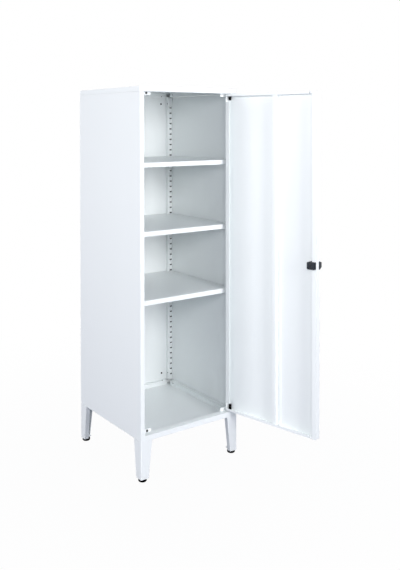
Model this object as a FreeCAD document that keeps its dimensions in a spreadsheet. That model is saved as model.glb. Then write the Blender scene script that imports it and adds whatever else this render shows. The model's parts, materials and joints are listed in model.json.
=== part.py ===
import FreeCAD, Part
import Sketcher
import math
import os

# A tall, narrow steel cupboard on four legs, with one inset door on pivot pins, slotted uprights in the four
# corners and three shelves on clips.  All lengths are millimetres.  The origin lies on the floor, midway
# between the four feet; +Z is up and the front faces -Y.  The door hangs on the right, seen from the front,
# and stands open at its rest angle.

doc = FreeCAD.newDocument("BroomCupboard")
sheet = doc.addObject("Spreadsheet::Sheet", "Sizes")


# ---------------------------------------------------------------- sizes

class Size:
    # A length with its number and the expression that keeps it tied to the sheet.

    def __init__(self, value, text):
        self.value = float(value)
        self.text = text

    def __add__(self, other):
        other = as_size(other)
        return Size(self.value + other.value, "(%s + %s)" % (self.text, other.text))

    def __sub__(self, other):
        other = as_size(other)
        return Size(self.value - other.value, "(%s - %s)" % (self.text, other.text))

    def __mul__(self, other):
        other = as_size(other)
        return Size(self.value * other.value, "(%s * %s)" % (self.text, other.text))

    def __truediv__(self, other):
        other = as_size(other)
        return Size(self.value / other.value, "(%s / %s)" % (self.text, other.text))

    def __neg__(self):
        return self * -1

    def __radd__(self, other):
        return as_size(other) + self

    def __rsub__(self, other):
        return as_size(other) - self

    def __rmul__(self, other):
        return as_size(other) * self


def as_size(item):
    if isinstance(item, Size):
        return item
    return Size(item, "(%s)" % repr(float(item)))


def whole(item):
    # The whole number of times that something fits.
    return Size(math.floor(item.value), "floor(%s)" % item.text)


def ordered(first, second):
    return sorted([as_size(first), as_size(second)], key=lambda size: size.value)


def driving(alias, value):
    # Puts one driving dimension in the next free row of the sheet.
    driving.row += 1
    sheet.set("A%d" % driving.row, alias)
    sheet.set("B%d" % driving.row, str(value))
    sheet.setAlias("B%d" % driving.row, alias)
    return Size(value, "Sizes." + alias)


driving.row = 0

# Overall
cabinet_width = driving("cabinet_width", 390)
cabinet_depth = driving("cabinet_depth", 404)
cabinet_height = driving("cabinet_height", 1123)
leg_height = driving("leg_height", 120.5)
foot_height = driving("foot_height", 9.5)

# Sheet steel
panel_sheet = driving("panel_sheet", 1.0)
bend_radius = driving("bend_radius", 1.6)
seam = driving("seam", 0.4)

# Top and bottom panels: flat sheets whose edges are folded into box rails
top_rim = driving("top_rim", 16.5)
bottom_rim = driving("bottom_rim", 17)
side_rail = driving("side_rail", 23)
back_rail = driving("back_rail", 17)
rail_corner_across = driving("rail_corner_across", 28)
rail_corner_along = driving("rail_corner_along", 34.5)
rim_corner_radius = driving("rim_corner_radius", 3)
skirt_step = driving("skirt_step", 9.5)

# Tabs behind the door's corners, and the rubber bumpers on two of them
tab_reach = driving("tab_reach", 53.5)
tab_drop = driving("tab_drop", 10.6)
tab_corner_radius = driving("tab_corner_radius", 3)
bumper_radius = driving("bumper_radius", 4.4)
bumper_stand = driving("bumper_stand", 2.7)
bumper_from_side = driving("bumper_from_side", 37)
bumper_from_rim = driving("bumper_from_rim", 4.6)
bumper_stem_radius = driving("bumper_stem_radius", 1.6)
bumper_stem_length = driving("bumper_stem_length", 3)
door_rest_gap = driving("door_rest_gap", 0.3)

# Side panels
front_flange = driving("front_flange", 14)
rear_flange = driving("rear_flange", 12)

# Slotted uprights
upright_width = driving("upright_width", 20.6)
rear_upright_depth = driving("rear_upright_depth", 15.6)
front_upright_depth = driving("front_upright_depth", 12)
upright_behind_rail = driving("upright_behind_rail", 6)
slot_width = driving("slot_width", 9.4)
slot_height = driving("slot_height", 4.6)
slot_pitch = driving("slot_pitch", 20.15)
slot_first = driving("slot_first", 38)
slot_end_margin = driving("slot_end_margin", 50)
slot_from_side = driving("slot_from_side", 8)

# Shelves, named by the slot that their clips hang in
shelf_fold = driving("shelf_fold", 15.6)
shelf_hem = driving("shelf_hem", 12)
shelf_latch_gap = driving("shelf_latch_gap", 1)
shelf_side_gap = driving("shelf_side_gap", 2.5)
shelf_back_gap = driving("shelf_back_gap", 3)
shelf_upright_gap = driving("shelf_upright_gap", 3.4)
shelf_notch_gap = driving("shelf_notch_gap", 2.4)
lower_shelf_slot = driving("lower_shelf_slot", 19)
middle_shelf_slot = driving("middle_shelf_slot", 30)
upper_shelf_slot = driving("upper_shelf_slot", 41)
clip_sheet = driving("clip_sheet", 1.2)
clip_reach = driving("clip_reach", 13)
clip_rise = driving("clip_rise", 0.6)
clip_hook = driving("clip_hook", 4.8)
clip_slack = driving("clip_slack", 0.3)

# Door
door_thickness = driving("door_thickness", 20)
door_side_lip = driving("door_side_lip", 15)
door_end_lip = driving("door_end_lip", 8)
door_corner_radius = driving("door_corner_radius", 4)
hinge_side_gap = driving("hinge_side_gap", 1.5)
latch_side_gap = driving("latch_side_gap", 1.0)
door_top_gap = driving("door_top_gap", 1.5)
door_bottom_gap = driving("door_bottom_gap", 3)
pivot_from_edge = driving("pivot_from_edge", 8)
pivot_from_face = driving("pivot_from_face", 7)
door_open_angle = driving("door_open_angle", 102)
corner_cutback = driving("corner_cutback", 26)
relief_from_edge = driving("relief_from_edge", 23)
relief_width = driving("relief_width", 3.5)
relief_length = driving("relief_length", 9)

# Door stiffener: a hat channel a little towards the latch side
stiffener_from_edge = driving("stiffener_from_edge", 161.5)
stiffener_crown = driving("stiffener_crown", 15)
stiffener_depth = driving("stiffener_depth", 15)
stiffener_flange = driving("stiffener_flange", 12)
stiffener_end_gap = driving("stiffener_end_gap", 1)

# Pivots
pin_radius = driving("pin_radius", 3)
pin_reach = driving("pin_reach", 6)
running_gap = driving("running_gap", 0.1)
bush_length = driving("bush_length", 20)
bush_radius = driving("bush_radius", 4.8)
bush_tip_radius = driving("bush_tip_radius", 3.9)
washer_radius = driving("washer_radius", 6)

# Handle: a faceted pull outside and a latch block inside, held by two screws
block_width = driving("block_width", 25.5)
block_height = driving("block_height", 23)
block_stand = driving("block_stand", 8)
block_from_edge = driving("block_from_edge", 4)
block_chamfer = driving("block_chamfer", 3)
pull_height = driving("pull_height", 25.4)
pull_tip_height = driving("pull_tip_height", 14)
pull_width = driving("pull_width", 27)
pull_tip_width = driving("pull_tip_width", 20)
pull_stand = driving("pull_stand", 17)
pull_edge_hook = driving("pull_edge_hook", 5.5)
pull_edge_wall = driving("pull_edge_wall", 0.6)
pull_edge_bevel = driving("pull_edge_bevel", 1.5)
handle_screw_radius = driving("handle_screw_radius", 2)
handle_screw_head_radius = driving("handle_screw_head_radius", 3.6)
handle_screw_head_height = driving("handle_screw_head_height", 1.6)
handle_screw_spacing = driving("handle_screw_spacing", 12)
handle_screw_bite = driving("handle_screw_bite", 9)

# Legs and levelling feet
leg_sheet = driving("leg_sheet", 2)
leg_bend_radius = driving("leg_bend_radius", 3)
leg_top_width = driving("leg_top_width", 42)
leg_foot_width = driving("leg_foot_width", 28.5)
leg_return = driving("leg_return", 15)
leg_plate_rise = driving("leg_plate_rise", 5)
leg_plate_sheet = driving("leg_plate_sheet", 3)
foot_radius = driving("foot_radius", 13.5)
foot_edge_slope = driving("foot_edge_slope", 2)
foot_floor_gap = driving("foot_floor_gap", 1)
foot_inset = driving("foot_inset", 14)
hub_radius = driving("hub_radius", 8)
stud_radius = driving("stud_radius", 4)
stud_length = driving("stud_length", 34)
stud_nut_height = driving("stud_nut_height", 6.5)
stud_nut_radius = driving("stud_nut_radius", 7.2)

# Holes in the back panel for fixing the cupboard to a wall
wall_hole_radius = driving("wall_hole_radius", 3)
wall_hole_from_side = driving("wall_hole_from_side", 42)
wall_hole_from_end = driving("wall_hole_from_end", 42.5)

doc.recompute()

half_width = cabinet_width / 2
half_depth = cabinet_depth / 2
body_bottom = leg_height + foot_height
body_top = body_bottom + cabinet_height
front_face = -half_depth
back_face = half_depth
inner_bend = bend_radius - panel_sheet
zero = as_size(0)

# The front rail is as deep as the door and the bumpers behind it, and what stands behind the door follows it.
front_rail = door_thickness + door_rest_gap + bumper_stand + panel_sheet
front_upright_setback = front_rail + upright_behind_rail
shelf_setback = door_thickness + block_stand + shelf_latch_gap
slot_count = whole((cabinet_height - slot_first - slot_end_margin) / slot_pitch) + 1


# ---------------------------------------------------------------- building blocks

def new_body(name):
    body = doc.addObject("PartDesign::Body", name)
    body.Label = name
    return body


def sketch_on(body, role, height):
    # A sketch on one of the body's own origin planes, moved along that plane's normal to the given coordinate.
    # The XZ plane's normal is -Y, so the coordinate changes sign there.
    sketch = body.newObject("Sketcher::SketchObject", "Outline")
    plane = [item for item in body.Origin.OriginFeatures if item.Role == role][0]
    sketch.AttachmentSupport = [(plane, "")]
    sketch.MapMode = "FlatFace"
    offset = -as_size(height) if role == "XZ_Plane" else as_size(height)
    sketch.setExpression("AttachmentOffset.Base.z", offset.text)
    return sketch


def hold(sketch, direction, geometry, point, distance):
    # Ties one point to the sketch's origin by a distance from the sheet.
    distance = as_size(distance)
    index = sketch.addConstraint(Sketcher.Constraint(direction, -1, 1, geometry, point, distance.value))
    sketch.setExpression("Constraints[%d]" % index, distance.text)


def draw_outline(sketch, corners):
    # A closed outline of straight lines, every corner tied by its two coordinates.
    corners = [(as_size(a), as_size(b)) for a, b in corners]
    first = sketch.GeometryCount
    count = len(corners)
    for index in range(count):
        start = corners[index]
        end = corners[(index + 1) % count]
        sketch.addGeometry(Part.LineSegment(
            FreeCAD.Vector(start[0].value, start[1].value, 0),
            FreeCAD.Vector(end[0].value, end[1].value, 0)), False)
    for index in range(count):
        following = first + (index + 1) % count
        sketch.addConstraint(Sketcher.Constraint("Coincident", first + index, 2, following, 1))
    for index in range(count):
        hold(sketch, "DistanceX", first + index, 1, corners[index][0])
        hold(sketch, "DistanceY", first + index, 1, corners[index][1])


def draw_circle(sketch, centre, radius):
    a, b = as_size(centre[0]), as_size(centre[1])
    radius = as_size(radius)
    circle = Part.Circle(FreeCAD.Vector(a.value, b.value, 0), FreeCAD.Vector(0, 0, 1), radius.value)
    index = sketch.addGeometry(circle, False)
    hold(sketch, "DistanceX", index, 3, a)
    hold(sketch, "DistanceY", index, 3, b)
    radius_index = sketch.addConstraint(Sketcher.Constraint("Radius", index, radius.value))
    sketch.setExpression("Constraints[%d]" % radius_index, radius.text)


def rectangle(low_a, high_a, low_b, high_b):
    return [(low_a, low_b), (high_a, low_b), (high_a, high_b), (low_a, high_b)]


def add(body, role, outlines, low, high):
    # Pads outlines between two coordinates along the plane's axis.
    start = high if role == "XZ_Plane" else low
    sketch = sketch_on(body, role, start)
    for outline in outlines:
        draw_outline(sketch, outline)
    pad = body.newObject("PartDesign::Pad", "Pad")
    pad.Profile = sketch
    pad.setExpression("Length", (as_size(high) - low).text)
    doc.recompute()
    return pad


def cut(body, role, outlines, low, high, circles=()):
    # Pockets outlines and circles between two coordinates, and makes sure that something was cut.
    before = body.Shape.Volume
    start = low if role == "XZ_Plane" else high
    sketch = sketch_on(body, role, start)
    for outline in outlines:
        draw_outline(sketch, outline)
    for centre, radius in circles:
        draw_circle(sketch, centre, radius)
    pocket = body.newObject("PartDesign::Pocket", "Pocket")
    pocket.Profile = sketch
    pocket.setExpression("Length", (as_size(high) - low).text)
    doc.recompute()
    if body.Shape.Volume >= before - 0.01:
        raise RuntimeError("a pocket in %s cuts nothing" % body.Label)
    return pocket


def edges_along(feature, direction, places, tolerance=0.02):
    # Names of the straight edges that run along an axis through one of the given places.  A place gives the
    # two other coordinates in X, Y, Z order.
    axis = "XYZ".index(direction)
    others = [index for index in range(3) if index != axis]
    wanted = [tuple(as_size(value).value for value in place) for place in places]
    names = []
    for number, edge in enumerate(feature.Shape.Edges, 1):
        if len(edge.Vertexes) != 2:
            continue
        start, end = edge.Vertexes[0].Point, edge.Vertexes[1].Point
        if abs((end - start)[axis]) < edge.Length - tolerance:
            continue
        for place in wanted:
            if all(abs(start[index] - value) < tolerance for index, value in zip(others, place)):
                names.append("Edge%d" % number)
    return names


def round_edges(body, names, size, kind="Fillet", setting="Radius"):
    base = body.Tip
    dressing = body.newObject("PartDesign::" + kind, kind)
    dressing.Base = (base, names)
    dressing.setExpression(setting, as_size(size).text)
    doc.recompute()
    if not names or "Invalid" in dressing.State:
        raise RuntimeError("a dressed edge in %s failed" % body.Label)
    return dressing


def bevel_edges(body, names, size):
    return round_edges(body, names, size, "Chamfer", "Size")


def turned(name, outline):
    # A round piece: a half outline in the XZ plane turned about the body's own Z axis.
    body = new_body(name)
    sketch = sketch_on(body, "XZ_Plane", 0)
    draw_outline(sketch, outline)
    turn = body.newObject("PartDesign::Revolution", "Turn")
    turn.Profile = sketch
    turn.ReferenceAxis = (sketch, ["V_Axis"])
    turn.Angle = 360
    doc.recompute()
    return body


def place(item, x, y, z):
    for axis, value in (("x", x), ("y", y), ("z", z)):
        item.setExpression("Placement.Base." + axis, as_size(value).text)
    return item


def cylinder(name, radius, height, x, y, z, direction="Z"):
    # A plain cylinder that starts at (x, y, z) and runs along +X, +Y or +Z.
    item = doc.addObject("Part::Cylinder", name)
    item.setExpression("Radius", as_size(radius).text)
    item.setExpression("Height", as_size(height).text)
    turns = {"X": ((0, 1, 0), 90), "Y": ((1, 0, 0), -90), "Z": ((0, 0, 1), 0)}
    axis, angle = turns[direction]
    item.Placement = FreeCAD.Placement(FreeCAD.Vector(0, 0, 0), FreeCAD.Rotation(FreeCAD.Vector(*axis), angle))
    return place(item, x, y, z)


def hexagon(name, radius, height, x, y, z):
    # A hexagonal bar standing at (x, y, z); the radius reaches its corners.
    item = doc.addObject("Part::Prism", name)
    item.Polygon = 6
    item.setExpression("Circumradius", as_size(radius).text)
    item.setExpression("Height", as_size(height).text)
    return place(item, x, y, z)


def fused(name, first, second):
    item = doc.addObject("Part::Fuse", name)
    item.Base = first
    item.Tool = second
    return item


def drilled(name, first, second):
    item = doc.addObject("Part::Cut", name)
    item.Base = first
    item.Tool = second
    return item


def group(name, members):
    # Identical small pieces kept together under one name, each a solid of its own.
    item = doc.addObject("Part::Compound", name)
    item.Label = name
    item.Links = members
    return item


subparts = []


def keep(item):
    subparts.append(item)
    return item


# ---------------------------------------------------------------- top and bottom panels

rail_side = half_width - side_rail
rail_back = back_face - back_rail
rail_front = front_face + front_rail
pivot_x = half_width - front_flange - hinge_side_gap - pivot_from_edge
pivot_y = front_face + pivot_from_face


def edge_rail_panel(name, skin_side, outer_half, low, high):
    # A flat sheet with all four edges folded over into box rails.  skin_side is +1 where the flat sheet is on
    # top and -1 where it is underneath.
    body = new_body(name)
    add(body, "XY_Plane", [rectangle(-outer_half, outer_half, front_face, back_face)], low, high)
    corners = [(x, y) for x in (-outer_half, outer_half) for y in (front_face, back_face)]
    round_edges(body, edges_along(body.Tip, "Z", corners), rim_corner_radius)
    skin_face = high if skin_side > 0 else low
    fold_face = low if skin_side > 0 else high
    long_edges = edges_along(body.Tip, "X", [(y, skin_face) for y in (front_face, back_face)])
    side_edges = edges_along(body.Tip, "Y", [(x, skin_face) for x in (-outer_half, outer_half)])
    round_edges(body, long_edges + side_edges, inner_bend)
    skin_inside = skin_face - panel_sheet * skin_side
    fold_inside = fold_face + panel_sheet * skin_side
    void_low = fold_inside if skin_side > 0 else skin_inside
    void_high = skin_inside if skin_side > 0 else fold_inside
    open_low = fold_face if skin_side > 0 else skin_inside
    open_high = skin_inside if skin_side > 0 else fold_face
    # the hollow of the box rails, between the outer wall and the upturned inner lips
    outer_wall = rectangle(-outer_half + panel_sheet, outer_half - panel_sheet,
                           front_face + panel_sheet, back_face - panel_sheet)
    inner_lips = rectangle(-rail_side - panel_sheet, rail_side + panel_sheet,
                           rail_front - panel_sheet, rail_back + panel_sheet)
    cut(body, "XY_Plane", [outer_wall, inner_lips], void_low, void_high)
    # the open middle, inside the lips
    cut(body, "XY_Plane", [rectangle(-rail_side, rail_side, rail_front, rail_back)], open_low, open_high)
    # the rails stop short of the rear corners
    for hand in (-1, 1):
        left, right = ordered((half_width - rail_corner_across) * hand, (outer_half - panel_sheet) * hand)
        notch = rectangle(left, right, back_face - rail_corner_along, back_face - panel_sheet)
        cut(body, "XY_Plane", [notch], open_low, open_high)
    # door-stop tabs, folded away from the front rail's lip at both ends
    tab_free = fold_face - tab_drop * skin_side
    tab_low = tab_free if skin_side > 0 else fold_inside
    tab_high = fold_inside if skin_side > 0 else tab_free
    for hand in (-1, 1):
        left, right = ordered((half_width - tab_reach) * hand, (half_width - panel_sheet * 2) * hand)
        tab = add(body, "XY_Plane", [rectangle(left, right, rail_front - panel_sheet, rail_front)],
                  tab_low, tab_high)
        free_corner = edges_along(tab, "Y", [((half_width - tab_reach) * hand, tab_free)])
        round_edges(body, free_corner, tab_corner_radius)
    # pivot hole in the front rail's fold
    hole_low = low if skin_side > 0 else high - panel_sheet
    hole_high = low + panel_sheet if skin_side > 0 else high
    cut(body, "XY_Plane", [], hole_low, hole_high, [((pivot_x, pivot_y), pin_radius + running_gap)])
    # holes for the bumpers' stems, in the latch-side tab
    stem_height = fold_face - bumper_from_rim * skin_side
    cut(body, "XZ_Plane", [], rail_front - panel_sheet, rail_front,
        [((-half_width + bumper_from_side, stem_height), bumper_stem_radius)])
    return body


keep(edge_rail_panel("top_panel", 1, half_width, body_top - top_rim, body_top))
keep(edge_rail_panel("bottom_panel", -1, half_width - panel_sheet, body_bottom, body_bottom + bottom_rim))


# ---------------------------------------------------------------- side and back panels

side_low = body_bottom + skirt_step
flange_low = body_bottom + bottom_rim + seam
side_high = body_top - top_rim - seam


def side_panel(name, hand):
    body = new_body(name)
    outer = half_width * hand
    inner = (half_width - panel_sheet) * hand
    outline = [
        (outer, front_face),
        ((half_width - front_flange) * hand, front_face),
        ((half_width - front_flange) * hand, front_face + panel_sheet),
        (inner, front_face + panel_sheet),
        (inner, back_face - panel_sheet),
        ((half_width - rear_flange) * hand, back_face - panel_sheet),
        ((half_width - rear_flange) * hand, back_face),
        (outer, back_face),
    ]
    add(body, "XY_Plane", [outline], side_low, side_high)
    round_edges(body, edges_along(body.Tip, "Z", [(outer, front_face), (outer, back_face)]), bend_radius)
    round_edges(body, edges_along(body.Tip, "Z", [(inner, front_face + panel_sheet),
                                                  (inner, back_face - panel_sheet)]), inner_bend)
    # both flanges stop at the bottom panel's rim, and only the skin overlaps its side
    left, right = ordered(inner, (half_width - front_flange) * hand)
    cut(body, "XY_Plane", [rectangle(left, right, front_face, back_face)], side_low, flange_low)
    return body


keep(side_panel("left_side_panel", -1))
keep(side_panel("right_side_panel", 1))

back_panel = keep(new_body("back_panel"))
back_inside = back_face - panel_sheet * 2
back_outside = back_face - panel_sheet
back_half = half_width - panel_sheet - inner_bend - seam
add(back_panel, "XY_Plane", [rectangle(-back_half, back_half, back_inside, back_outside)], flange_low, side_high)
wall_hole_x = half_width - wall_hole_from_side
wall_hole_low = body_bottom + wall_hole_from_end
wall_hole_high = body_top - wall_hole_from_end
wall_holes = [((x, z), wall_hole_radius)
              for x in (-wall_hole_x, wall_hole_x) for z in (wall_hole_low, wall_hole_high)]
cut(back_panel, "XZ_Plane", [], back_inside, back_outside, wall_holes)


# ---------------------------------------------------------------- slotted uprights

upright_low = body_bottom + bottom_rim + seam
upright_high = body_top - top_rim - seam
rear_slot_face = back_inside - rear_upright_depth
front_slot_face = front_face + front_upright_setback + front_upright_depth
slot_centre_x = half_width - slot_from_side


def upright(name, hand, slot_face, open_end):
    # A channel welded into a corner: the slotted face looks into the cupboard, and open_end is where its two
    # legs end.
    body = new_body(name)
    inward = 1 if open_end.value > slot_face.value else -1
    wall = (half_width - panel_sheet) * hand
    face = (half_width - upright_width) * hand
    skin = panel_sheet * hand
    outline = [
        (wall, slot_face), (face, slot_face), (face, open_end), (face + skin, open_end),
        (face + skin, slot_face + panel_sheet * inward), (wall - skin, slot_face + panel_sheet * inward),
        (wall - skin, open_end), (wall, open_end),
    ]
    pad = add(body, "XY_Plane", [outline], upright_low, upright_high)
    round_edges(body, edges_along(pad, "Z", [(face, slot_face)]), bend_radius)
    slot_x = slot_centre_x * hand
    slot_z = body_bottom + slot_first
    slot = rectangle(slot_x - slot_width / 2, slot_x + slot_width / 2,
                     slot_z - slot_height / 2, slot_z + slot_height / 2)
    front, back = ordered(slot_face, slot_face + panel_sheet * inward)
    pocket = cut(body, "XZ_Plane", [slot], front, back)
    row = body.newObject("PartDesign::LinearPattern", "SlotRow")
    row.Originals = [pocket]
    upward = [item for item in body.Origin.OriginFeatures if item.Role == "Z_Axis"][0]
    row.Direction = (upward, [""])
    row.setExpression("Length", (slot_pitch * (slot_count - 1)).text)
    row.setExpression("Occurrences", slot_count.text)
    body.Tip = row
    doc.recompute()
    return body


for side, hand in (("left", -1), ("right", 1)):
    keep(upright("rear_%s_upright" % side, hand, rear_slot_face, back_inside))
    keep(upright("front_%s_upright" % side, hand, front_slot_face, front_face + front_upright_setback))


# ---------------------------------------------------------------- shelves and their clips

shelf_half = half_width - panel_sheet - shelf_side_gap
shelf_front = front_face + shelf_setback
shelf_back = back_inside - shelf_back_gap
shelf_notch_x = half_width - upright_width - shelf_upright_gap
shelf_notch_front = front_slot_face + shelf_notch_gap
shelf_notch_back = rear_slot_face - shelf_notch_gap


def notched_outline(trim):
    # A rectangle with its four corners cut out; trim pulls in the four long sides only.
    half = shelf_half - trim
    front = shelf_front + trim
    back = shelf_back - trim
    return [
        (-shelf_notch_x, front), (shelf_notch_x, front),
        (shelf_notch_x, shelf_notch_front), (half, shelf_notch_front),
        (half, shelf_notch_back), (shelf_notch_x, shelf_notch_back),
        (shelf_notch_x, back), (-shelf_notch_x, back),
        (-shelf_notch_x, shelf_notch_back), (-half, shelf_notch_back),
        (-half, shelf_notch_front), (-shelf_notch_x, shelf_notch_front),
    ]


def shelf(name, slot_number):
    body = new_body(name)
    seat = body_bottom + slot_first + slot_pitch * slot_number + clip_rise
    top = seat + shelf_fold
    add(body, "XY_Plane", [notched_outline(zero)], seat, top)
    long_edges = edges_along(body.Tip, "X", [(shelf_front, top), (shelf_back, top)])
    side_edges = edges_along(body.Tip, "Y", [(-shelf_half, top), (shelf_half, top)])
    round_edges(body, long_edges + side_edges, bend_radius)
    cut(body, "XY_Plane", [notched_outline(panel_sheet)], seat, top - panel_sheet)
    add(body, "XY_Plane", [rectangle(-shelf_notch_x, shelf_notch_x, shelf_front, shelf_front + shelf_hem)],
        seat, seat + panel_sheet)
    add(body, "XY_Plane", [rectangle(-shelf_notch_x, shelf_notch_x, shelf_back - shelf_hem, shelf_back)],
        seat, seat + panel_sheet)
    return body


def clip(hand, slot_face, inward, slot_number):
    # A folded clip: a seat under the shelf, a plate flat against the slotted face, and a hooked tongue in the slot.
    body = new_body("Clip")
    slot_z = body_bottom + slot_first + slot_pitch * slot_number
    seat = slot_z + clip_rise
    hook_low = slot_z - clip_hook
    centre = slot_centre_x * hand
    half = slot_width / 2 - clip_slack
    plate = slot_face - clip_sheet * inward
    seat_end = slot_face - clip_reach * inward
    behind = slot_face + (panel_sheet + clip_slack) * inward
    hook_end = behind + clip_sheet * inward
    tongue_top = slot_z + slot_height / 2 - clip_slack
    tongue_low = tongue_top - clip_sheet * 2
    outline = [
        (seat_end, seat - clip_sheet), (plate, seat - clip_sheet), (plate, hook_low), (slot_face, hook_low),
        (slot_face, tongue_low), (behind, tongue_low), (behind, hook_low),
        (hook_end, hook_low), (hook_end, tongue_top), (plate, tongue_top),
        (plate, seat), (seat_end, seat),
    ]
    add(body, "YZ_Plane", [outline], centre - half, centre + half)
    return body


shelf_rows = (("lower_shelf", lower_shelf_slot), ("middle_shelf", middle_shelf_slot),
              ("upper_shelf", upper_shelf_slot))
for shelf_name, slot_number in shelf_rows:
    keep(shelf(shelf_name, slot_number))
    clips = []
    for hand in (-1, 1):
        clips.append(clip(hand, rear_slot_face, 1, slot_number))
        clips.append(clip(hand, front_slot_face, -1, slot_number))
    keep(group(shelf_name + "_clips", clips))


# ---------------------------------------------------------------- door

# The door's own frame has its origin on the pivot axis at the door's lower edge.  When it is shut, the door
# runs from the pivot towards -X, its outer face is pivot_from_face in front of the axis.
door_edge = pivot_from_edge
door_width = cabinet_width - front_flange * 2 - hinge_side_gap - latch_side_gap
door_free = door_edge - door_width
door_face = -pivot_from_face
door_inside = door_face + door_thickness
door_skin = door_face + panel_sheet
door_lip = door_inside - panel_sheet
door_base = body_bottom + bottom_rim + door_bottom_gap
door_height = cabinet_height - bottom_rim - top_rim - door_bottom_gap - door_top_gap
handle_centre_z = door_height / 2
block_free = door_free + block_from_edge
block_centre_x = block_free + block_width / 2
handle_screw_places = [(block_centre_x, handle_centre_z + handle_screw_spacing / 2 * side) for side in (-1, 1)]


def hang(body):
    # Hangs a piece of the door on the pivot axis at the rest angle.
    body.setExpression("Placement.Rotation.Axis.z", "1")
    body.setExpression("Placement.Rotation.Angle", door_open_angle.text)
    return place(body, pivot_x, pivot_y, door_base)


door_panel = keep(new_body("door_panel"))
pad = add(door_panel, "XZ_Plane", [rectangle(door_free, door_edge, zero, door_height)], door_face, door_inside)
free_corners = edges_along(pad, "Y", [(door_free, zero), (door_free, door_height)])
round_edges(door_panel, free_corners, door_corner_radius)
face_edges = edges_along(door_panel.Tip, "Z", [(door_free, door_face), (door_edge, door_face)])
face_edges += edges_along(door_panel.Tip, "X", [(door_face, zero), (door_face, door_height)])
round_edges(door_panel, face_edges, inner_bend)
# the pan's hollow; its two free corners are cut across where a straight line touches the rounded corner's arc
hollow_left, hollow_right = door_free + panel_sheet, door_edge - panel_sheet
hollow_low, hollow_high = panel_sheet, door_height - panel_sheet
across = (door_corner_radius - panel_sheet) * (2 - math.sqrt(2))
hollow = [
    (hollow_left + across, hollow_low), (hollow_right, hollow_low), (hollow_right, hollow_high),
    (hollow_left + across, hollow_high), (hollow_left, hollow_high - across), (hollow_left, hollow_low + across),
]
cut(door_panel, "XZ_Plane", [hollow], door_skin, door_inside)
# lips folded inwards round the mouth of the pan; their outline dips clear of the rounded corners
inset = panel_sheet / 2
dip = panel_sheet / 2 + door_corner_radius / 2
lip_left, lip_right = door_free + inset, door_edge - inset
lip_low, lip_high = inset, door_height - inset
lip_outline = [
    (lip_left + dip, lip_low), (lip_right - dip, lip_low), (lip_right, lip_low + dip), (lip_right, lip_high - dip),
    (lip_right - dip, lip_high), (lip_left + dip, lip_high), (lip_left, lip_high - dip), (lip_left, lip_low + dip),
]
mouth = rectangle(door_free + door_side_lip, door_edge - door_side_lip, door_end_lip, door_height - door_end_lip)
add(door_panel, "XZ_Plane", [lip_outline, mouth], door_lip, door_inside)
# the hinge-side lip is cut back round both pivots
cutback_left = door_edge - door_side_lip
for low, high in ((door_end_lip, corner_cutback), (door_height - corner_cutback, door_height - door_end_lip)):
    cut(door_panel, "XZ_Plane", [rectangle(cutback_left, door_edge - panel_sheet, low, high)],
        door_lip, door_inside)
# the latch-side lip is cut away for the latch block
block_slot = rectangle(door_free + panel_sheet, door_free + door_side_lip,
                       handle_centre_z - block_height / 2 - seam, handle_centre_z + block_height / 2 + seam)
cut(door_panel, "XZ_Plane", [block_slot], door_lip, door_inside)
# relief slots where the top and bottom lips end
relief_left = door_free + relief_from_edge
for low, high in ((zero, door_end_lip), (door_height - door_end_lip, door_height)):
    cut(door_panel, "XZ_Plane", [rectangle(relief_left, relief_left + relief_width, low, high)],
        door_inside - relief_length, door_inside)
# pivot holes and handle screw holes
for low, high in ((zero, panel_sheet), (door_height - panel_sheet, door_height)):
    cut(door_panel, "XY_Plane", [], low, high, [((zero, zero), pin_radius)])
cut(door_panel, "XZ_Plane", [], door_face, door_skin,
    [(spot, handle_screw_radius + running_gap) for spot in handle_screw_places])
hang(door_panel)

door_stiffener = keep(new_body("door_stiffener"))
hat_x = door_free + stiffener_from_edge
hat_top = door_skin + stiffener_depth
half_crown = stiffener_crown / 2
hat = [
    (hat_x - half_crown - stiffener_flange, door_skin),
    (hat_x - half_crown - stiffener_flange, door_skin + panel_sheet),
    (hat_x - half_crown, door_skin + panel_sheet),
    (hat_x - half_crown, hat_top),
    (hat_x + half_crown, hat_top),
    (hat_x + half_crown, door_skin + panel_sheet),
    (hat_x + half_crown + stiffener_flange, door_skin + panel_sheet),
    (hat_x + half_crown + stiffener_flange, door_skin),
    (hat_x + half_crown - panel_sheet, door_skin),
    (hat_x + half_crown - panel_sheet, hat_top - panel_sheet),
    (hat_x - half_crown + panel_sheet, hat_top - panel_sheet),
    (hat_x - half_crown + panel_sheet, door_skin),
]
hat_pad = add(door_stiffener, "XY_Plane", [hat], panel_sheet + stiffener_end_gap,
              door_height - panel_sheet - stiffener_end_gap)
round_edges(door_stiffener,
            edges_along(hat_pad, "Z", [(hat_x - half_crown, hat_top), (hat_x + half_crown, hat_top)]),
            bend_radius)
hang(door_stiffener)


# ---------------------------------------------------------------- pivots

def bush(name, upward):
    # A tapered moulded bush that sits in the pan against the door's end fold and holds the pin.
    base = panel_sheet if upward > 0 else door_height - panel_sheet
    tip = base + bush_length * upward
    shoulder = base + bush_length / 3 * upward
    return turned(name, [(pin_radius, base), (bush_radius, base), (bush_radius, shoulder),
                         (bush_tip_radius, tip), (pin_radius, tip)])


keep(hang(bush("lower_pivot_bush", 1)))
keep(hang(bush("upper_pivot_bush", -1)))

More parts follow.
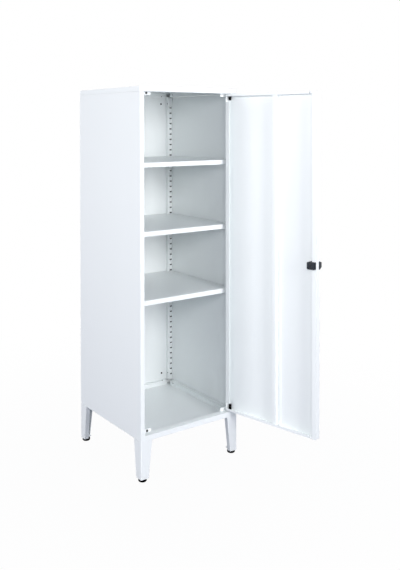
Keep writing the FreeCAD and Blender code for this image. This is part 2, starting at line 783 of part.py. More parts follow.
lower_pin_end = -(door_bottom_gap + panel_sheet + pin_reach)
upper_pin_end = door_height + door_top_gap + panel_sheet + pin_reach
pin_tip = as_size(1)
keep(hang(turned("lower_pivot_pin", [
    (zero, lower_pin_end), (pin_radius - pin_tip, lower_pin_end), (pin_radius, lower_pin_end + pin_tip),
    (pin_radius, panel_sheet + bush_length), (zero, panel_sheet + bush_length)])))
keep(hang(turned("upper_pivot_pin", [
    (zero, door_height - panel_sheet - bush_length), (pin_radius, door_height - panel_sheet - bush_length),
    (pin_radius, upper_pin_end - pin_tip), (pin_radius - pin_tip, upper_pin_end), (zero, upper_pin_end)])))
keep(hang(turned("pivot_washer", [
    (pin_radius, running_gap * 2 - door_bottom_gap), (washer_radius, running_gap * 2 - door_bottom_gap),
    (washer_radius, zero), (pin_radius, zero)])))


# ---------------------------------------------------------------- bumpers

def bumper(direction, rim_height):
    # A rubber button on the front of a tab, with its stem through the tab.
    height = rim_height - bumper_from_rim * direction
    x = -half_width + bumper_from_side
    tab_front = rail_front - panel_sheet
    button = cylinder("Button", bumper_radius, bumper_stand, x, tab_front - bumper_stand, height, "Y")
    stem = cylinder("Stem", bumper_stem_radius, bumper_stem_length, x, tab_front, height, "Y")
    return fused("Bumper", button, stem)


keep(group("door_bumpers", [bumper(1, body_top - top_rim), bumper(-1, body_bottom + bottom_rim)]))


# ---------------------------------------------------------------- handle

latch_block = keep(new_body("latch_block"))
block_low = handle_centre_z - block_height / 2
block_high = handle_centre_z + block_height / 2
block_front = door_inside + block_stand
block_pad = add(latch_block, "XZ_Plane", [rectangle(block_free, block_free + block_width, block_low, block_high)],
                door_skin, block_front)
round_edges(latch_block, edges_along(block_pad, "Y", [(block_free + block_width, block_high),
                                                      (block_free + block_width, block_low)]), block_chamfer)
cut(latch_block, "XZ_Plane", [], door_skin, block_front,
    [(spot, handle_screw_radius + running_gap) for spot in handle_screw_places])
hang(latch_block)

handle_pull = keep(new_body("handle_pull"))
pull_free = door_free - pull_edge_wall
pull_base = rectangle(pull_free, pull_free + pull_width,
                      handle_centre_z - pull_height / 2, handle_centre_z + pull_height / 2)
tip_free = pull_free + (pull_width - pull_tip_width) / 2
pull_tip = rectangle(tip_free, tip_free + pull_tip_width,
                     handle_centre_z - pull_tip_height / 2, handle_centre_z + pull_tip_height / 2)
root = sketch_on(handle_pull, "XZ_Plane", door_face)
draw_outline(root, pull_base)
crown = sketch_on(handle_pull, "XZ_Plane", door_face - pull_stand)
draw_outline(crown, pull_tip)
grip = handle_pull.newObject("PartDesign::AdditiveLoft", "Grip")
grip.Profile = root
grip.Sections = [crown]
doc.recompute()
tip_face = door_face - pull_stand
tip_edges = edges_along(grip, "X", [(tip_face, handle_centre_z - pull_tip_height / 2),
                                    (tip_face, handle_centre_z + pull_tip_height / 2)])
tip_edges += edges_along(grip, "Z", [(tip_free, tip_face), (tip_free + pull_tip_width, tip_face)])
bevel_edges(handle_pull, tip_edges, pull_edge_bevel)
# a thin wall hooks round the door's free edge
add(handle_pull, "XZ_Plane", [rectangle(pull_free, door_free, handle_centre_z - pull_height / 2,
                                        handle_centre_z + pull_height / 2)],
    door_face, door_face + pull_edge_hook)
cut(handle_pull, "XZ_Plane", [], door_face - handle_screw_bite, door_face,
    [(spot, handle_screw_radius) for spot in handle_screw_places])
hang(handle_pull)

screw_tip = -handle_screw_bite - panel_sheet
screw_seat = block_front - door_skin
screw_top = screw_seat + handle_screw_head_height
handle_screws = []
for x, z in handle_screw_places:
    screw = turned("Screw", [
        (zero, screw_tip), (handle_screw_radius, screw_tip), (handle_screw_radius, screw_seat),
        (handle_screw_head_radius, screw_seat), (handle_screw_radius, screw_top), (zero, screw_top)])
    screw.Placement = FreeCAD.Placement(FreeCAD.Vector(0, 0, 0), FreeCAD.Rotation(FreeCAD.Vector(1, 0, 0), -90))
    handle_screws.append(place(screw, x, door_skin, z))
keep(hang(group("handle_screws", handle_screws)))


# ---------------------------------------------------------------- legs and feet

foot_places = [(side, x_hand, end, y_hand) for side, x_hand in (("left", -1), ("right", 1))
               for end, y_hand in (("front", -1), ("rear", 1))]
plate_low = foot_height + leg_plate_rise
plate_high = plate_low + leg_plate_sheet
foot_x = half_width - foot_inset
foot_y = half_depth - foot_inset


def free_edge_strip(half, hand):
    # The sheet's thickness along a leg face's slanting free edge.
    top, foot = half - leg_top_width, half - leg_foot_width
    return [(top * hand, body_bottom), ((top + leg_sheet) * hand, body_bottom),
            ((foot + leg_sheet) * hand, foot_height), (foot * hand, foot_height)]


def leg(name, x_hand, y_hand):
    # A folded angle that tapers towards the floor, with a return along each free edge, a flange at the top under
    # the bottom panel and a plate near the floor for the levelling stud.
    body = new_body(name)
    outer_x, inner_x = half_width * x_hand, (half_width - leg_sheet) * x_hand
    outer_y, inner_y = half_depth * y_hand, (half_depth - leg_sheet) * y_hand
    face_across = [(outer_x, body_bottom), ((half_width - leg_top_width) * x_hand, body_bottom),
                   ((half_width - leg_foot_width) * x_hand, foot_height), (outer_x, foot_height)]
    low, high = ordered(outer_y, inner_y)
    add(body, "XZ_Plane", [face_across], low, high)
    face_along = [(outer_y, body_bottom), ((half_depth - leg_top_width) * y_hand, body_bottom),
                  ((half_depth - leg_foot_width) * y_hand, foot_height), (outer_y, foot_height)]
    low, high = ordered(outer_x, inner_x)
    add(body, "YZ_Plane", [face_along], low, high)
    round_edges(body, edges_along(body.Tip, "Z", [(outer_x, outer_y)]), leg_bend_radius)
    low, high = ordered(inner_y, (half_depth - leg_return) * y_hand)
    add(body, "XZ_Plane", [free_edge_strip(half_width, x_hand)], low, high)
    low, high = ordered(inner_x, (half_width - leg_return) * x_hand)
    add(body, "YZ_Plane", [free_edge_strip(half_depth, y_hand)], low, high)
    left, right = ordered(inner_x, (half_width - leg_top_width + leg_sheet) * x_hand)
    front, back = ordered(inner_y, (half_depth - leg_top_width + leg_sheet) * y_hand)
    add(body, "XY_Plane", [rectangle(left, right, front, back)], body_bottom - leg_sheet, body_bottom)
    left, right = ordered(inner_x, (half_width - leg_foot_width + leg_sheet) * x_hand)
    front, back = ordered(inner_y, (half_depth - leg_foot_width + leg_sheet) * y_hand)
    add(body, "XY_Plane", [rectangle(left, right, front, back)], plate_low, plate_high)
    cut(body, "XY_Plane", [], plate_low, plate_high,
        [((foot_x * x_hand, foot_y * y_hand), stud_radius + running_gap)])
    return body


def foot(name):
    # A moulded glide with a steel stud; the hub above the glide stops against the leg's plate.
    glide_top = foot_height - foot_floor_gap
    hub_top = plate_low - seam
    return turned(name, [
        (zero, zero), (foot_radius - foot_edge_slope, zero), (foot_radius, foot_edge_slope),
        (foot_radius, glide_top), (hub_radius, glide_top), (hub_radius, hub_top), (stud_radius, hub_top),
        (stud_radius, glide_top + stud_length), (zero, glide_top + stud_length)])


stud_nuts = []
for side, x_hand, end, y_hand in foot_places:
    place_name = "%s_%s" % (end, side)
    keep(leg(place_name + "_leg", x_hand, y_hand))
    keep(place(foot(place_name + "_foot"), foot_x * x_hand, foot_y * y_hand, zero))
    nut = hexagon("StudNutBlank", stud_nut_radius, stud_nut_height, foot_x * x_hand, foot_y * y_hand, plate_high)
    bore = cylinder("StudNutBore", stud_radius + running_gap, stud_nut_height,
                    foot_x * x_hand, foot_y * y_hand, plate_high)
    stud_nuts.append(drilled("StudNut", nut, bore))
keep(group("stud_nuts", stud_nuts))


# ---------------------------------------------------------------- checks and export

doc.recompute()
for item in doc.Objects:
    for state in item.State:
        if state in ("Invalid", "Error"):
            raise RuntimeError("%s is %s" % (item.Label, state))

os.makedirs("parts", exist_ok=True)
for item in subparts:
    if item.Shape.isNull() or not item.Shape.isValid():
        raise RuntimeError("%s has no valid shape" % item.Label)
    item.Shape.exportStep(os.path.join("parts", item.Label + ".step"))
    print(item.Label, len(item.Shape.Solids), round(item.Shape.Volume))
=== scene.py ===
import json
import math

import bmesh
import bpy
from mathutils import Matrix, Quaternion, Vector


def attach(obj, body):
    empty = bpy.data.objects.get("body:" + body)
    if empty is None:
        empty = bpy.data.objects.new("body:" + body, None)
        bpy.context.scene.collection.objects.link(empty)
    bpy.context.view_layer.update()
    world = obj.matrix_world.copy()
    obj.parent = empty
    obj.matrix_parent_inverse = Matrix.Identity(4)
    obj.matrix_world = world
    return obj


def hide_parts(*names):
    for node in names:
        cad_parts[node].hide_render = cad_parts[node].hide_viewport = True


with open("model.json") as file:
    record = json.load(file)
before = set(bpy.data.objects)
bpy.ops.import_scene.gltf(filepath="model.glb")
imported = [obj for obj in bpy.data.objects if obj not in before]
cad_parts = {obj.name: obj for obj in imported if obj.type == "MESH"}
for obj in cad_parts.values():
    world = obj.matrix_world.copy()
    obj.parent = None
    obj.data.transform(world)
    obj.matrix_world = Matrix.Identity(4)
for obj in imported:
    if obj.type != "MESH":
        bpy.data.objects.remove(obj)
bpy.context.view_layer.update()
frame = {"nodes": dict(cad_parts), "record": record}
bpy.ops.object.select_all(action="DESELECT")
nodes = frame["nodes"]
scene = bpy.context.scene
scene.view_settings.view_transform = "Standard"
print("frame loaded:", len(nodes), "nodes")


# Camera: metres and degrees, yaw turns from +Y towards +X
cameraSetup = {"place": (-1.4286, -2.1558, 1.1306), "yaw": 35.03, "pitch": -0.975, "roll": -0.1,
               "lens": 46.64, "shift": (0.0423, -0.2589)}


def addCamera():
    yaw, pitch, roll = (math.radians(cameraSetup[turn]) for turn in ("yaw", "pitch", "roll"))
    level = math.cos(pitch)
    look = Vector((math.sin(yaw) * level, math.cos(yaw) * level, math.sin(pitch)))
    bpy.ops.object.camera_add(location=cameraSetup["place"])
    camera = bpy.context.object
    camera.rotation_euler = (look.to_track_quat("-Z", "Y") @ Quaternion((0, 0, 1), roll)).to_euler()
    camera.data.lens = cameraSetup["lens"]
    camera.data.shift_x, camera.data.shift_y = cameraSetup["shift"]
    scene.camera = camera


addCamera()
print("camera placed")


# Shader maths
class Wire:
    # A socket to reckon with: each sum on it adds a Math node to its tree.
    def __init__(self, socket):
        self.socket = socket

    def sum(self, operation, *terms):
        maths = addNode(self.socket.id_data, "ShaderNodeMath", {"operation": operation},
                        dict(enumerate(terms)))
        return Wire(maths.outputs[0])

    def __add__(self, other):
        return self.sum("ADD", self, other)

    def __mul__(self, other):
        return self.sum("MULTIPLY", self, other)

    def __rsub__(self, other):
        return self.sum("SUBTRACT", other, self)

    __radd__ = __add__
    __rmul__ = __mul__

    def size(self):
        return self.sum("ABSOLUTE", self)

    def orLarger(self, other):
        return self.sum("MAXIMUM", self, other)


def addNode(tree, kind, settings, values):
    # Any node: its settings first, then a value or a link for each socket.
    node = tree.nodes.new(kind)
    for name, setting in settings.items():
        setattr(node, name, setting)
    for name, value in values.items():
        if isinstance(value, Wire):
            tree.links.new(value.socket, node.inputs[name])
        else:
            node.inputs[name].default_value = value
    return node


class Finish:
    # A material built round one Principled shader.
    def __init__(self, name):
        self.material = bpy.data.materials.new(name)
        self.material.use_nodes = True
        self.tree = self.material.node_tree
        self.shader = self.tree.nodes["Principled BSDF"]
        self.place = Wire(self.node("ShaderNodeTexCoord", {}, {}).outputs["Object"])

    def node(self, kind, settings, values):
        return addNode(self.tree, kind, settings, values)

    def noise(self, scale, detail):
        noise = self.node("ShaderNodeTexNoise", {}, {"Vector": self.place, "Scale": scale, "Detail": detail})
        return Wire(noise.outputs["Fac"])

    def ramp(self, value, low, high):
        # Climbs from nought at low to one at high.
        ramp = self.node("ShaderNodeMapRange", {"clamp": True}, {
            "Value": value, "From Min": low, "From Max": high})
        return Wire(ramp.outputs["Result"])

    def within(self, value, low, high, edge):
        # One between low and high, nought outside, with a short step at each end.
        return self.ramp(value, low - edge, low) * (1 - self.ramp(value, high, high + edge))

    def blend(self, factor, first, second):
        mix = self.node("ShaderNodeMix", {"data_type": "RGBA"}, {"Factor": factor, "A": first, "B": second})
        return Wire(mix.outputs[2])  # the colour result, after the number and the vector

    def bump(self, height, distance):
        bump = self.node("ShaderNodeBump", {}, {"Height": height, "Distance": distance, "Strength": 1.0})
        return Wire(bump.outputs["Normal"])

    def set(self, **values):
        for name, value in values.items():
            socket = self.shader.inputs[name.replace("_", " ")]
            if isinstance(value, Wire):
                self.tree.links.new(value.socket, socket)
            else:
                socket.default_value = value
        return self.material


# Finishes
powderCoat = {
    "light": (0.846, 0.889, 0.893, 1), "deep": (0.830, 0.874, 0.878, 1), "toneScale": 2.5, "toneDetail": 3.0,
    "peelScale": 520.0, "fineScale": 1500.0, "peelShare": 0.75, "peelDetail": 1.0, "peelDepth": 0.00006,
    "roughness": 0.3, "spread": 0.08,
    # the closed rear corner posts: their inside in metres, and the painted shade there
    "thin": (0.11, 0.115, 0.11, 1), "postAcross": (0.1755, 0.1941), "postAlong": (0.1855, 0.2001),
    "postHeight": (0.1475, 1.236), "postEdge": 0.0004}


def makePowderCoat():
    coat = powderCoat
    finish = Finish("whitePowderCoat")
    tone = finish.noise(coat["toneScale"], coat["toneDetail"])
    split = finish.node("ShaderNodeSeparateXYZ", {}, {0: finish.place})
    x, y, z = (Wire(split.outputs[axis]) for axis in "XYZ")
    # the inside of the rear corner posts, closed but for their slots, gets a dark colour as painted shade, so
    # the slots show dark
    shadeInPost = (finish.within(x.size(), *coat["postAcross"], coat["postEdge"])
              * finish.within(y, *coat["postAlong"], coat["postEdge"])
              * finish.within(z, *coat["postHeight"], coat["postEdge"]))
    colour = finish.blend(tone, coat["deep"], coat["light"])
    peel = (finish.noise(coat["peelScale"], coat["peelDetail"]) * coat["peelShare"]
            + finish.noise(coat["fineScale"], coat["peelDetail"]) * (1 - coat["peelShare"]))
    return finish.set(
        # painted shade inside the rear corner posts, laid over the coat's tone
        Base_Color=finish.blend(shadeInPost, colour, coat["thin"]),
        Roughness=coat["roughness"] + coat["spread"] * tone,
        Normal=finish.bump(peel, coat["peelDepth"]))


zincPlate = {"bright": (0.62, 0.64, 0.66, 1), "dull": (0.42, 0.43, 0.44, 1), "grainScale": 900.0,
             "grainDetail": 3.0, "grainDepth": 0.00003, "roughness": 0.28, "spread": 0.2}
blackScrew = {"bright": (0.05, 0.052, 0.056, 1), "dull": (0.025, 0.026, 0.028, 1), "grainScale": 900.0,
              "grainDetail": 3.0, "grainDepth": 0.00003, "roughness": 0.3, "spread": 0.2}


def makePlated(name, plate):
    # Plated or blackened steel with a fine grain.
    finish = Finish(name)
    grain = finish.noise(plate["grainScale"], plate["grainDetail"])
    return finish.set(
        Base_Color=finish.blend(grain, plate["dull"], plate["bright"]),
        Roughness=plate["roughness"] + plate["spread"] * grain,
        Normal=finish.bump(grain, plate["grainDepth"]), Metallic=1.0)


greyPlastic = {"dark": (0.012, 0.016, 0.022, 1), "light": (0.018, 0.023, 0.031, 1), "cloudScale": 45.0,
               "grainScale": 1800.0, "detail": 2.0, "grainDepth": 0.00004, "roughness": 0.4, "spread": 0.15,
               "shine": 0.22}
blackPlastic = {"dark": (0.003, 0.003, 0.0035, 1), "light": (0.005, 0.005, 0.0055, 1), "cloudScale": 37.5,
                "grainScale": 1500.0, "detail": 2.0, "grainDepth": 0.00004, "roughness": 0.75, "spread": 0.15,
                "shine": 0.02}
blackRubber = {"dark": (0.01, 0.01, 0.01, 1), "light": (0.02, 0.02, 0.02, 1), "cloudScale": 30.0,
               "grainScale": 1200.0, "detail": 2.0, "grainDepth": 0.00006, "roughness": 0.6, "spread": 0.15,
               "shine": 0.3}


def makeMoulded(name, mould):
    # Moulded plastic or rubber: a cloudy colour and a fine grain.
    finish = Finish(name)
    grain = finish.noise(mould["grainScale"], mould["detail"])
    cloud = finish.noise(mould["cloudScale"], mould["detail"])
    return finish.set(
        Base_Color=finish.blend(cloud, mould["dark"], mould["light"]),
        Roughness=mould["roughness"] + mould["spread"] * grain,
        Normal=finish.bump(grain, mould["grainDepth"]), Specular_IOR_Level=mould["shine"])


finishes = {
    "white_steel": makePowderCoat(),
    "zinc_steel": makePlated("zincPlate", zincPlate),
    "grey_plastic": makeMoulded("greyPlastic", greyPlastic),
    "black_plastic": makeMoulded("blackPlastic", blackPlastic),
    "blackScrew": makePlated("blackScrew", blackScrew),
    "black_rubber": makeMoulded("blackRubber", blackRubber),
}
for part in frame["record"]["subparts"]:
    slots = nodes[part["node"]].data.materials
    slots.clear()
    slots.append(finishes["blackScrew" if part["node"] == "handle_screws" else part["material_slot"]])
print("finishes made:", len(finishes))


# Modelling helpers: everything is deselected first, then faces and edges are picked by place
def startPiece(name, addPrimitive, **values):
    bpy.ops.object.select_all(action="DESELECT")
    addPrimitive(**values)
    piece = bpy.context.object
    piece.name = name
    return piece


def pick(piece, kind, test):
    # Edit mode: selects the faces or corners that pass the test, by place and normal.
    bpy.ops.mesh.select_mode(type=kind)
    bpy.ops.mesh.select_all(action="DESELECT")
    mesh = bmesh.from_edit_mesh(piece.data)
    if kind == "FACE":
        chosen = [face for face in mesh.faces if test(face.calc_center_median(), face.normal)]
    else:
        chosen = [corner for corner in mesh.verts if test(corner.co, corner.normal)]
    for element in chosen:
        element.select_set(True)
    mesh.select_flush_mode()
    bmesh.update_edit_mesh(piece.data)


def facesUp(place, normal):
    return normal.z > 0.9


def grow(height, width=1.0):
    # Edit mode: draws the picked faces out along z, then scales them.
    bpy.ops.mesh.extrude_region_move(TRANSFORM_OT_translate={"value": (0, 0, height)})
    if width != 1.0:
        bpy.ops.transform.resize(value=(width, width, 1))


def startDisc(name, sides, radius, low, high, steps=()):
    # A disc between two heights, left in edit mode with its top picked: each step is a rise and a scale.
    disc = startPiece(name, bpy.ops.mesh.primitive_cylinder_add, vertices=sides, radius=radius,
                      depth=high - low, location=(0, 0, (low + high) / 2))
    bpy.ops.object.transform_apply(location=True)
    bpy.ops.object.mode_set(mode="EDIT")
    pick(disc, "FACE", facesUp)
    for height, width in steps:
        grow(height, width)
    return disc


def applyModifiers(piece):
    for modifier in list(piece.modifiers):
        bpy.ops.object.modifier_apply(modifier=modifier.name)


def roundEdges(piece, width, segments, angle):
    bevel = piece.modifiers.new("roundEdges", "BEVEL")
    bevel.width, bevel.segments = width, segments
    bevel.limit_method, bevel.angle_limit = "ANGLE", math.radians(angle)
    bevel.use_clamp_overlap = True
    applyModifiers(piece)


def copyPiece(piece, name, place=(0, 0, 0), turn=(0, 0, 0)):
    bpy.ops.object.select_all(action="DESELECT")
    piece.select_set(True)
    bpy.context.view_layer.objects.active = piece
    bpy.ops.object.duplicate()
    copy = bpy.context.object
    copy.name = name
    copy.location, copy.rotation_euler = place, turn
    bpy.ops.object.transform_apply(location=True, rotation=True, scale=True)
    return copy


def joinPieces(pieces, name):
    bpy.ops.object.select_all(action="DESELECT")
    for piece in pieces:
        piece.select_set(True)
    bpy.context.view_layer.objects.active = pieces[0]
    bpy.ops.object.join()
    pieces[0].name = name
    return pieces[0]


def finishPiece(piece, slot, body, finish=None, sharp=32):
    # Places it in its mesh, turns its faces outwards, smooths it, and gives it finish, slot and body.
    bpy.ops.object.select_all(action="DESELECT")
    piece.select_set(True)
    bpy.context.view_layer.objects.active = piece
    bpy.ops.object.transform_apply(location=True, rotation=True, scale=True)
    bpy.ops.object.mode_set(mode="EDIT")
    bpy.ops.mesh.select_all(action="SELECT")
    bpy.ops.mesh.normals_make_consistent(inside=False)
    bpy.ops.object.mode_set(mode="OBJECT")
    bpy.ops.object.shade_smooth_by_angle(angle=math.radians(sharp))
    piece.data.materials.clear()
    piece.data.materials.append(finish or finishes[slot])
    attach(piece, body)
    return piece


# Levelling feet: a moulded glide with ribs round its rim, a hub and a threaded stud
levellingFoot = {
    "across": 0.181, "along": 0.188,
    # glide, from the floor up
    "floorEdge": 0.0115, "sole": 0.001, "soleFlare": 1.06, "radius": 0.0135, "edgeRise": 0.002,
    "glideTop": 0.0085, "rimBevel": 0.0008, "rimTaper": 0.94, "ribs": 24, "ribStep": 3, "ribEdge": 0.00012,
    "ribDepth": 0.0005, "hubFillet": 0.0008, "hubRadius": 0.008, "hubTop": 0.0141, "hubBevel": 0.0006,
    "hubTaper": 0.93,
    # stud and its thread
    "studRadius": 0.004, "studTop": 0.0425, "studSink": 0.0008, "studSides": 24, "studBevel": 0.0006,
    "coreSwell": 0.00002, "pitch": 0.00125, "threadDepth": 0.0006, "threadStop": 0.002, "toothShare": 0.9,
    "toothRoot": 0.0003, "toothLean": 0.42}


def makeFoot():
    size = levellingFoot
    sides = size["ribs"] * size["ribStep"]
    foot = startDisc("footGlide", sides, size["floorEdge"], 0, size["sole"])
    pick(foot, "VERT", lambda place, normal: place.z > size["sole"] / 2)
    bpy.ops.transform.resize(value=(size["soleFlare"], size["soleFlare"], 1))
    pick(foot, "FACE", facesUp)
    grow(size["edgeRise"] - size["sole"], size["radius"] / (size["floorEdge"] * size["soleFlare"]))
    grow(size["glideTop"] - size["edgeRise"] - size["rimBevel"])
    grow(size["rimBevel"], size["rimTaper"])
    # one strip of the rim in every three is drawn in, which leaves finger ribs
    strip = math.tau / sides
    low, high = size["edgeRise"], size["glideTop"] - size["rimBevel"]
    pick(foot, "FACE", lambda place, normal: low < place.z < high and abs(normal.z) < 0.3
         and round(math.atan2(place.y, place.x) / strip - 0.5) % size["ribStep"] == 0)
    bpy.ops.mesh.inset(thickness=size["ribEdge"], depth=-size["ribDepth"], use_individual=True)
    pick(foot, "FACE", lambda place, normal: facesUp(place, normal) and place.z > high)
    fillet = size["hubFillet"]
    bpy.ops.mesh.inset(thickness=size["radius"] * size["rimTaper"] - size["hubRadius"] - fillet)
    grow(fillet, size["hubRadius"] / (size["hubRadius"] + fillet))
    grow(size["hubTop"] - size["glideTop"] - fillet - size["hubBevel"])
    grow(size["hubBevel"], size["hubTaper"])
    bpy.ops.object.mode_set(mode="OBJECT")
    return foot


def makeStud():
    # The thread is one tooth's outline, rooted in the core and wound up it by a screw modifier.
    size = levellingFoot
    pitch = size["pitch"]
    core = size["studRadius"] - size["threadDepth"]
    root, tooth = core - size["toothRoot"], pitch * size["toothShare"]
    middle = size["hubTop"] - size["studSink"] / 2 + pitch / 2
    stud = startPiece("footStud", bpy.ops.mesh.primitive_plane_add, size=tooth,
                      location=(root + tooth / 2, 0, middle), rotation=(math.radians(90), 0, 0))
    bpy.ops.object.transform_apply(location=True, rotation=True)
    bpy.ops.object.mode_set(mode="EDIT")
    bpy.ops.mesh.delete(type="ONLY_FACE")
    lean = tooth * size["toothLean"]
    for above, shift in ((False, lean), (True, -lean)):
        pick(stud, "VERT", lambda place, normal: place.x > root + tooth / 2 and (place.z > middle) == above)
        bpy.ops.transform.translate(value=(size["studRadius"] - root - tooth, 0, shift))
    bpy.ops.object.mode_set(mode="OBJECT")
    winding = stud.modifiers.new("winding", "SCREW")
    winding.screw_offset = pitch
    winding.iterations = int((size["studTop"] - size["hubTop"] - size["threadStop"]) / pitch)
    winding.steps = winding.render_steps = size["studSides"]
    applyModifiers(stud)
    bpy.ops.object.mode_set(mode="EDIT")
    bpy.ops.mesh.select_all(action="SELECT")
    bpy.ops.mesh.fill_holes(sides=4)  # the two ends of the thread
    bpy.ops.object.mode_set(mode="OBJECT")
    pin = startDisc("studCore", size["studSides"], core + size["coreSwell"],
                    size["hubTop"] - size["studSink"], size["studTop"])
    bpy.ops.mesh.bevel(offset=size["studBevel"], segments=2, affect="EDGES")
    bpy.ops.object.mode_set(mode="OBJECT")
    return joinPieces([stud, pin], "footStud")


def addFeet():
    glide, stud = makeFoot(), makeStud()
    for side, across in (("left", -1), ("right", 1)):
        for end, along in (("front", -1), ("rear", 1)):
            node = end + "_" + side + "_foot"
            corner = end + side.capitalize()
            place = (across * levellingFoot["across"], along * levellingFoot["along"], 0)
            glidePiece = copyPiece(glide, corner + "Glide", place)
            studPiece = copyPiece(stud, corner + "Stud", place)
            finishPiece(glidePiece, "black_plastic", node, sharp=24)
            finishPiece(studPiece, "zinc_steel", node)
            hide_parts(node)
            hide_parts(node)
    for spare in (glide, stud):
        bpy.data.objects.remove(spare)


# Stud nuts: hexagons with chamfered corners and a sunk ring round the bore
studNut = {"radius": 0.0072, "low": 0.0175, "height": 0.0065, "bore": 0.0041, "chamfer": 0.0009,
           "chamferSlope": 0.5, "cornerShare": 0.97, "flatShare": 0.866, "sink": 0.001, "rounding": 0.0002,
           "roundAngle": 30}


def addStudNuts():
    size = studNut
    low, high = size["low"], size["low"] + size["height"]
    nut = startPiece("nut", bpy.ops.mesh.primitive_cylinder_add, vertices=6, radius=size["radius"],
                     depth=size["height"], location=(0, 0, (low + high) / 2),
                     rotation=(0, 0, math.radians(30)))
    bpy.ops.object.transform_apply(location=True, rotation=True)
    bpy.ops.object.mode_set(mode="EDIT")
    pick(nut, "FACE", lambda place, normal: abs(normal.z) > 0.9)
    bpy.ops.mesh.inset(thickness=size["chamfer"])
    # the outer corners of both ends are drawn together, which slopes the rings between
    for end, way in ((high, -1), (low, 1)):
        pick(nut, "VERT", lambda place, normal: place.xy.length > size["radius"] * size["cornerShare"]
             and abs(place.z - end) < size["rounding"])
        bpy.ops.transform.translate(value=(0, 0, way * size["chamfer"] * size["chamferSlope"]))
    pick(nut, "FACE", lambda place, normal: normal.z > 0.99)  # the flat top, without its sloping ring
    bpy.ops.mesh.inset(thickness=size["radius"] * size["flatShare"] - size["chamfer"] - size["bore"])
    grow(-size["sink"])
    bpy.ops.object.mode_set(mode="OBJECT")
    roundEdges(nut, size["rounding"], 2, size["roundAngle"])
    across, along = levellingFoot["across"], levellingFoot["along"]
    nuts = [copyPiece(nut, "nutCopy", (x, y, 0)) for x in (-across, across) for y in (-along, along)]
    bpy.data.objects.remove(nut)
    nuts = finishPiece(joinPieces(nuts, "studNuts"), "zinc_steel", "carcass")
    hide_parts("stud_nuts")


# Door bumpers: soft domes on the door-stop tabs
doorBumper = {"radius": 0.0044, "sides": 40, "base": 0.001, "x": -0.158, "face": -0.176,
              "heights": (0.1516, 1.2319),
              "steps": ((0.0003, 1.0), (0.0004, 0.88), (0.0008, 0.97), (0.002, 0.98), (0.0006, 0.93),
                        (0.0004, 0.84), (0.0002, 0.6))}


def addBumpers():
    size = doorBumper
    dome = startDisc("bumper", size["sides"], size["radius"], 0, size["base"], size["steps"])
    bpy.ops.object.mode_set(mode="OBJECT")
    domes = [copyPiece(dome, "bumperCopy", (size["x"], size["face"], z), (math.radians(90), 0, 0))
             for z in size["heights"]]
    bpy.data.objects.remove(dome)
    bumpers = finishPiece(joinPieces(domes, "doorBumpers"), "black_rubber", "carcass", sharp=50)
    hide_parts("door_bumpers")


# Corner fixings: low dark heads with a round recess
fixing = {
    "radius": 0.0018, "sides": 24, "base": 0.0003, "steps": ((0.0003, 0.9), (0.0002, 0.8), (0.0001, 0.7)),
    "recessRim": 0.0002, "recessDepth": 0.0004,
    "railAcross": 0.172, "railAlong": 0.1496, "railHeights": (0.1431, 1.2439),
    "backAcross": 0.146, "backFace": 0.185, "backHeights": (0.1500, 1.2383),
    "postAcross": 0.1744, "postAlong": 0.1880, "postHeights": (0.1730, 1.2115)}


def addFixings():
    size = fixing
    head = startDisc("fixing", size["sides"], size["radius"], 0, size["base"], size["steps"])
    pick(head, "FACE", facesUp)
    bpy.ops.mesh.inset(thickness=size["recessRim"], depth=-size["recessDepth"])
    bpy.ops.object.mode_set(mode="OBJECT")
    quarter = math.radians(90)
    heads = []
    for side in (1, -1):
        inward, forward = (0, -side * quarter, 0), (quarter, 0, 0)
        spots = [((side * size["railAcross"], size["railAlong"], z), inward) for z in size["railHeights"]]
        spots += [((side * size["postAcross"], size["postAlong"], z), inward) for z in size["postHeights"]]
        spots += [((side * size["backAcross"], size["backFace"], z), forward) for z in size["backHeights"]]
        heads += [copyPiece(head, "fixingCopy", place, turn) for place, turn in spots]
    bpy.data.objects.remove(head)
    finishPiece(joinPieces(heads, "cornerFixings"), "zinc_steel", "carcass", finishes["blackScrew"])


# Blanking plugs in the four wall holes of the back panel
blankingPlug = {"radius": 0.0034, "stem": 0.0029, "stemLength": 0.001, "sides": 32, "across": 0.153,
                "heights": (0.1725, 1.2105), "face": 0.200, "lip": 0.0001,
                "steps": ((0.0003, 1.0), (0.0004, 0.86), (0.0002, 0.6))}


def addBlankingPlugs():
    size = blankingPlug
    steps = ((size["lip"], size["radius"] / size["stem"]), *size["steps"])
    plug = startDisc("plug", size["sides"], size["stem"], -size["stemLength"], 0, steps)
    bpy.ops.object.mode_set(mode="OBJECT")
    plugs = [copyPiece(plug, "plugCopy", (side * size["across"], size["face"], z), (math.radians(90), 0, 0))
             for side in (-1, 1) for z in size["heights"]]
    bpy.data.objects.remove(plug)
    finishPiece(joinPieces(plugs, "blankingPlugs"), "black_plastic", "carcass")


# Mouldings on the door: their own shapes with the edges rounded
moulding = {
    "weld": 0.00001, "flatAngle": 1, "edgeAngle": 25, "segments": 3, "sliver": 0.000004,
    "pieces": (("latch_block", "latchBlock", "grey_plastic", 0.0007),
               ("handle_pull", "handlePull", "grey_plastic", 0.0009),
               ("lower_pivot_bush", "lowerPivotBush", "black_plastic", 0.0004),
               ("upper_pivot_bush", "upperPivotBush", "black_plastic", 0.0004))}


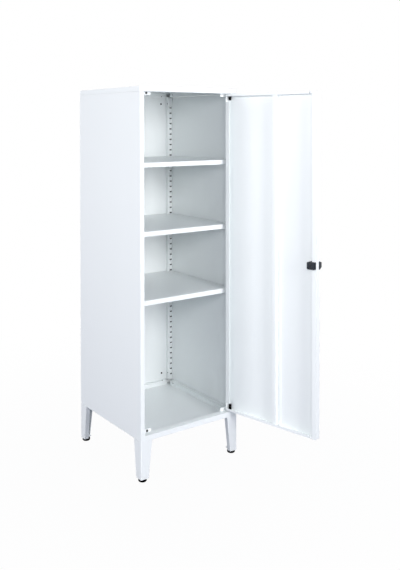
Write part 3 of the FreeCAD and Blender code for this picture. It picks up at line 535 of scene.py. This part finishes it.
def softenMouldings():
    size = moulding
    for node, name, slot, width in size["pieces"]:
        copy = copyPiece(nodes[node], name)
        bpy.ops.object.mode_set(mode="EDIT")
        bpy.ops.mesh.select_all(action="SELECT")
        bpy.ops.mesh.remove_doubles(threshold=size["weld"])
        bpy.ops.mesh.dissolve_limited(angle_limit=math.radians(size["flatAngle"]))
        bpy.ops.object.mode_set(mode="OBJECT")
        roundEdges(copy, width, size["segments"], size["edgeAngle"])
        bpy.ops.object.mode_set(mode="EDIT")
        bpy.ops.mesh.select_all(action="SELECT")
        bpy.ops.mesh.remove_doubles(threshold=size["sliver"])
        bpy.ops.mesh.dissolve_degenerate(threshold=size["sliver"])
        bpy.ops.mesh.delete_loose()
        bpy.ops.object.mode_set(mode="OBJECT")
        finishPiece(copy, slot, "door")
        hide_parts(node)


addFeet()
addStudNuts()
print("feet and nuts made")
addBumpers()
addFixings()
addBlankingPlugs()
print("small fixings made")
softenMouldings()
print("mouldings softened")


# Studio: a pale floor and a white surround, plain soft lamps
studio = {"floorSize": 60.0, "floorColor": (0.19, 0.21, 0.27, 1), "floorRoughness": 0.8, "nearWhite": 0.97,
          "shadowReach": 1.6, "skyColor": (0.4, 0.6, 1.0, 1), "skyStrength": 0.11, "white": (1, 1, 1, 1)}
lampColor = (1.0, 0.972, 0.978)
lamps = {
    "sideLamp": {"place": (-2.8, -0.1, 1.45), "aim": (0, 0, 1.1), "size": (1.0, 1.0), "watts": 50},
    "cornerLamp": {"place": (-1.5, -2.4, 1.5), "aim": (0, 0, 0.9), "size": (0.8, 0.8), "watts": 31},
    "frontLamp": {"place": (0.3, -2.9, 1.6), "aim": (0, 0, 1.0), "size": (1.0, 1.0), "watts": 36},
    "farLamp": {"place": (0.1, -3.6, 1.0), "aim": (0, 0, 0.9), "size": (0.8, 0.8), "watts": 30},
    "rightLamp": {"place": (3.2, 0.9, 1.5), "aim": (0, 0, 0.9), "size": (1.2, 1.2), "watts": 75},
    "topLamp": {"place": (0.2, -0.2, 3.8), "aim": (0.05, 0, 0.9), "size": (1.0, 1.0), "watts": 26},
    "rearLamp": {"place": (0.7, 3.3, 1.5), "aim": (0, 0, 0.9), "size": (1.2, 1.2), "watts": 62},
}


def seenShare(tree):
    # One for what the eye sees, straight, in a reflection or through glass, nought for the light on things.
    rays = addNode(tree, "ShaderNodeLightPath", {}, {}).outputs
    straight, reflected, through = (Wire(rays["Is " + kind + " Ray"])
                                    for kind in ("Camera", "Glossy", "Transmission"))
    return straight.orLarger(reflected).orLarger(through)


def addFloor():
    bpy.ops.mesh.primitive_plane_add(size=studio["floorSize"])
    floor = bpy.context.object
    floor.name = "floor"
    finish = Finish("paleFloor")
    finish.set(Base_Color=studio["floorColor"], Roughness=studio["floorRoughness"])
    glow = finish.node("ShaderNodeEmission", {}, {"Color": studio["white"], "Strength": 1.0})
    # the shadow shows round the cupboard only, and the floor fades to white further out
    away = finish.node("ShaderNodeVectorMath", {"operation": "LENGTH"}, {0: finish.place})
    fade = finish.node("ShaderNodeMapRange", {"interpolation_type": "SMOOTHSTEP"}, {
        "Value": Wire(away.outputs["Value"]), "From Min": 0.0, "From Max": studio["shadowReach"],
        "To Min": studio["nearWhite"], "To Max": 1.0})
    mix = finish.node("ShaderNodeMixShader", {}, {
        "Fac": seenShare(finish.tree) * Wire(fade.outputs["Result"]),
        1: Wire(finish.shader.outputs[0]), 2: Wire(glow.outputs[0])})
    output = finish.tree.nodes["Material Output"]
    finish.tree.links.new(mix.outputs[0], output.inputs["Surface"])
    floor.data.materials.append(finish.material)


def addSky():
    sky = bpy.data.worlds.new("studio")
    scene.world = sky
    sky.use_nodes = True
    tree = sky.node_tree
    light = tree.nodes["Background"]
    light.inputs["Color"].default_value = studio["skyColor"]
    light.inputs["Strength"].default_value = studio["skyStrength"]
    white = addNode(tree, "ShaderNodeBackground", {}, {"Color": studio["white"], "Strength": 1.0})
    mix = addNode(tree, "ShaderNodeMixShader", {}, {
        "Fac": seenShare(tree), 1: Wire(light.outputs[0]), 2: Wire(white.outputs[0])})
    tree.links.new(mix.outputs[0], tree.nodes["World Output"].inputs["Surface"])


def addLamps():
    for name, setup in lamps.items():
        place, aim = Vector(setup["place"]), Vector(setup["aim"])
        bpy.ops.object.light_add(type="AREA", location=place)
        lamp = bpy.context.object
        lamp.name = name
        lamp.rotation_euler = (aim - place).to_track_quat("-Z", "Y").to_euler()
        lamp.data.shape = "RECTANGLE"
        lamp.data.size, lamp.data.size_y = setup["size"]
        lamp.data.energy, lamp.data.color = setup["watts"], lampColor


addFloor()
addSky()
addLamps()
print("studio ready")
